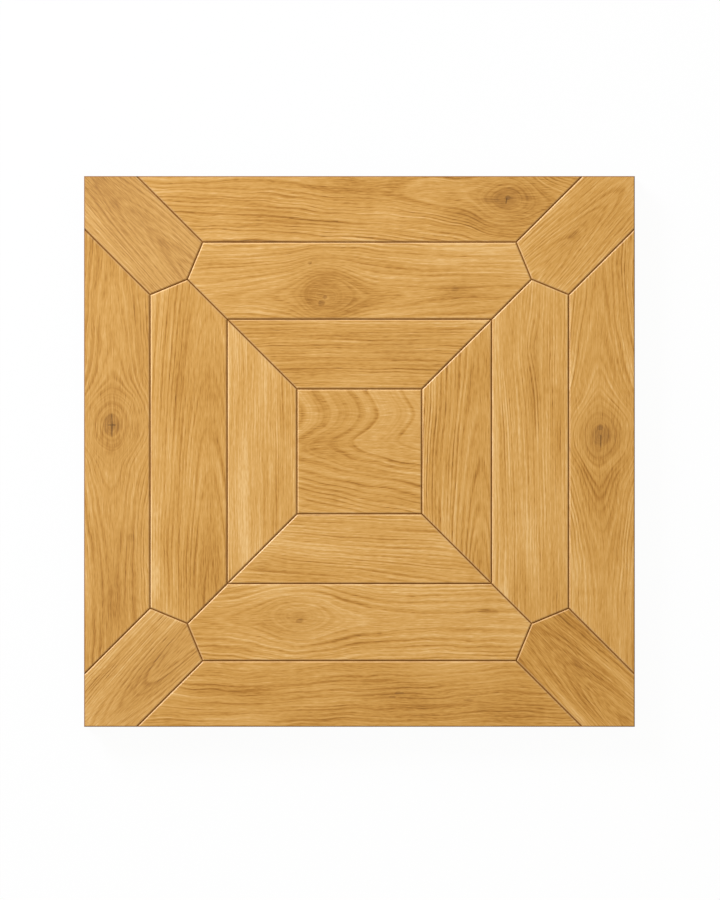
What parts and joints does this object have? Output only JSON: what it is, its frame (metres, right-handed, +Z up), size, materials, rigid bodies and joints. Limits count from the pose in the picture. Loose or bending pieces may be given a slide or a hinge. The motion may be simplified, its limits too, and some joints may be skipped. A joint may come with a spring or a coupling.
{
  "type": "parquet panel",
  "caption": "Square solid oak parquet panel of bevelled strips: mitred frames round a centre square, pointed strips across the corners, and a groove round the edge; laid as flooring.",
  "frame": {"origin": "centre of the underside, on the floor", "axes": "+Z up out of the walking face, +Y towards the north strips (the top of the picture), +X towards the east strips"},
  "size_m": [0.6, 0.6, 0.02],
  "materials": {
    "oak": "oiled, satin"
  },
  "bodies": {
    "root": {"centre_square": "oak", "inner_strip_north": "oak", "inner_strip_east": "oak", "inner_strip_south": "oak", "inner_strip_west": "oak", "middle_strip_north": "oak", "middle_strip_east": "oak", "middle_strip_south": "oak", "middle_strip_west": "oak", "outer_strip_north": "oak", "outer_strip_east": "oak", "outer_strip_south": "oak", "outer_strip_west": "oak", "corner_strip_northeast": "oak", "corner_strip_northwest": "oak", "corner_strip_southeast": "oak", "corner_strip_southwest": "oak"}
  },
  "joints": []
}
